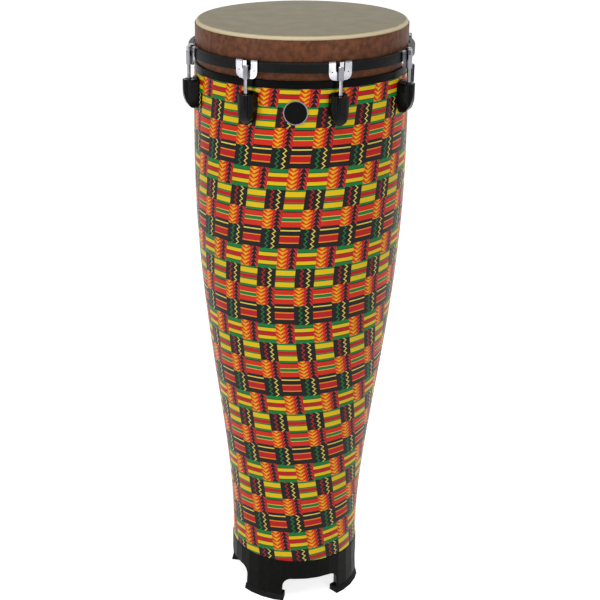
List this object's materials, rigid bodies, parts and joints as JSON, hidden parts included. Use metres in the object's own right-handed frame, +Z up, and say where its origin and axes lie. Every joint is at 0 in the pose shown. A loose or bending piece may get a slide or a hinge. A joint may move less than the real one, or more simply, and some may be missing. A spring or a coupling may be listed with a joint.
{
  "type": "timba",
  "caption": "Tall tapered hand drum with a tuned head, tension rods, claws and lugs, a printed cloth wrap and a four-legged foot.",
  "frame": {"origin": "on the floor under the drum's axis", "axes": "+Z up along the drum's axis, -Y towards the badge, +X to the right of the badge seen from the front"},
  "size_m": [0.3322, 0.3322, 0.9],
  "materials": {
    "shell_wood": "sealed bare wood",
    "printed_cloth": "printed cloth under clear gloss coat",
    "bearing_wood": "dark stained wood",
    "black_trim": "black, satin gloss",
    "head_film": "skin-like matte film",
    "head_skirt": "brown skin-like film",
    "hoop_black": "black powder coat",
    "hoop_steel": "plain",
    "bright_metal": "chrome plated",
    "lug_black": "black gloss enamel",
    "nut_brass": "plain",
    "screw_steel": "zinc plated",
    "foot_black": "black satin",
    "pad_rubber": "dark grey rubber",
    "badge_black": "black enamel, blank"
  },
  "bodies": {
    "drum": {"shell": "shell_wood", "fabric_wrap": "printed_cloth", "bearing_ring": "bearing_wood", "trim_ring": "black_trim", "drumhead": "head_film", "foot_ring": "foot_black", "badge": "badge_black", "badge_rim": "bright_metal", "lug_1": "lug_black", "lug_2": "lug_black", "lug_3": "lug_black", "lug_4": "lug_black", "lug_5": "lug_black", "lug_6": "lug_black", "lug_7": "lug_black", "lug_8": "lug_black", "lug_nut_1": "nut_brass", "lug_nut_2": "nut_brass", "lug_nut_3": "nut_brass", "lug_nut_4": "nut_brass", "lug_nut_5": "nut_brass", "lug_nut_6": "nut_brass", "lug_nut_7": "nut_brass", "lug_nut_8": "nut_brass", "lug_screw_1": "screw_steel", "lug_screw_2": "screw_steel", "lug_screw_3": "screw_steel", "lug_screw_4": "screw_steel", "lug_screw_5": "screw_steel", "lug_screw_6": "screw_steel", "lug_screw_7": "screw_steel", "lug_screw_8": "screw_steel", "foot_pad_1": "pad_rubber", "foot_pad_2": "pad_rubber", "foot_pad_3": "pad_rubber", "foot_pad_4": "pad_rubber", "foot_screw_1": "screw_steel", "foot_screw_2": "screw_steel", "foot_screw_3": "screw_steel", "foot_screw_4": "screw_steel"},
    "hoop": {"counterhoop": "hoop_black", "flesh_hoop": "hoop_steel", "head_collar": "head_skirt", "claw_1": "bright_metal", "claw_2": "bright_metal", "claw_3": "bright_metal", "claw_4": "bright_metal", "claw_5": "bright_metal", "claw_6": "bright_metal", "claw_7": "bright_metal", "claw_8": "bright_metal"},
    "rod_1": {"tension_rod_1": "bright_metal"},
    "rod_2": {"tension_rod_2": "bright_metal"},
    "rod_3": {"tension_rod_3": "bright_metal"},
    "rod_4": {"tension_rod_4": "bright_metal"},
    "rod_5": {"tension_rod_5": "bright_metal"},
    "rod_6": {"tension_rod_6": "bright_metal"},
    "rod_7": {"tension_rod_7": "bright_metal"},
    "rod_8": {"tension_rod_8": "bright_metal"}
  },
  "joints": [
    {"name": "hoop_travel", "type": "slide", "parent": "drum", "child": "hoop", "axis": [0, 0, 1], "range_m": [-0.003, 0.003]},
    {"name": "rod_turn_1", "type": "hinge", "parent": "hoop", "child": "rod_1", "pos_m": [0.05295, -0.1568, 0.8608], "axis": [0, 0, 1], "range_deg": [-1080, 1080]},
    {"name": "rod_turn_2", "type": "hinge", "parent": "hoop", "child": "rod_2", "pos_m": [0.14832, -0.07343, 0.8608], "axis": [0, 0, 1], "range_deg": [-1080, 1080]},
    {"name": "rod_turn_3", "type": "hinge", "parent": "hoop", "child": "rod_3", "pos_m": [0.1568, 0.05295, 0.8608], "axis": [0, 0, 1], "range_deg": [-1080, 1080]},
    {"name": "rod_turn_4", "type": "hinge", "parent": "hoop", "child": "rod_4", "pos_m": [0.07343, 0.14832, 0.8608], "axis": [0, 0, 1], "range_deg": [-1080, 1080]},
    {"name": "rod_turn_5", "type": "hinge", "parent": "hoop", "child": "rod_5", "pos_m": [-0.05295, 0.1568, 0.8608], "axis": [0, 0, 1], "range_deg": [-1080, 1080]},
    {"name": "rod_turn_6", "type": "hinge", "parent": "hoop", "child": "rod_6", "pos_m": [-0.14832, 0.07343, 0.8608], "axis": [0, 0, 1], "range_deg": [-1080, 1080]},
    {"name": "rod_turn_7", "type": "hinge", "parent": "hoop", "child": "rod_7", "pos_m": [-0.1568, -0.05295, 0.8608], "axis": [0, 0, 1], "range_deg": [-1080, 1080]},
    {"name": "rod_turn_8", "type": "hinge", "parent": "hoop", "child": "rod_8", "pos_m": [-0.07343, -0.14832, 0.8608], "axis": [0, 0, 1], "range_deg": [-1080, 1080]}
  ],
  "couplings": [
    {"joint": "rod_turn_1", "follows": "hoop_travel", "rad_per_m": 5938.7},
    {"joint": "rod_turn_2", "follows": "hoop_travel", "rad_per_m": 5938.7},
    {"joint": "rod_turn_3", "follows": "hoop_travel", "rad_per_m": 5938.7},
    {"joint": "rod_turn_4", "follows": "hoop_travel", "rad_per_m": 5938.7},
    {"joint": "rod_turn_5", "follows": "hoop_travel", "rad_per_m": 5938.7},
    {"joint": "rod_turn_6", "follows": "hoop_travel", "rad_per_m": 5938.7},
    {"joint": "rod_turn_7", "follows": "hoop_travel", "rad_per_m": 5938.7},
    {"joint": "rod_turn_8", "follows": "hoop_travel", "rad_per_m": 5938.7}
  ]
}
